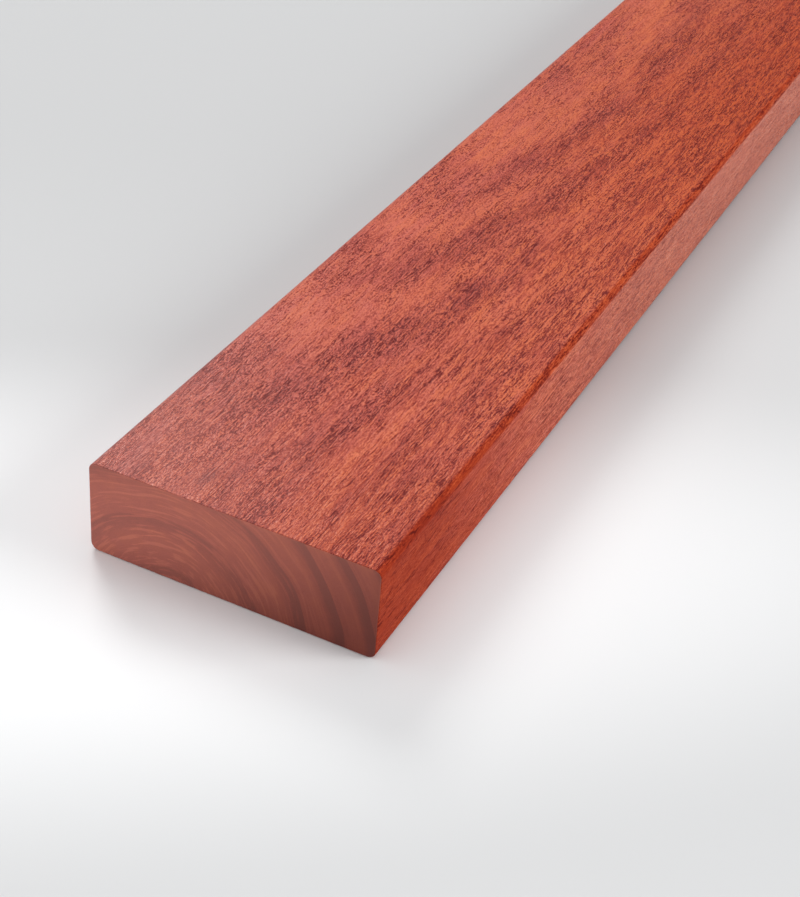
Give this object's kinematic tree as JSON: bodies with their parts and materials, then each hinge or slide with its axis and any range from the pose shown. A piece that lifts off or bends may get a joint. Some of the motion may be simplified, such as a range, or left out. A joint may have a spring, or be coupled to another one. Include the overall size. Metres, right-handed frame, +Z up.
{
  "type": "hardwood board",
  "caption": "Long straight board of red-brown tropical hardwood, planed on all sides with rounded long edges and square-cut ends.",
  "frame": {"origin": "middle of the underside, halfway along the board", "axes": "X across the width, Y along the grain and Z up through the thickness, with the near cut end facing -Y"},
  "size_m": [0.09, 1.8, 0.03],
  "materials": {
    "hardwood": "satin"
  },
  "bodies": {
    "root": {"board": "hardwood"}
  },
  "joints": []
}
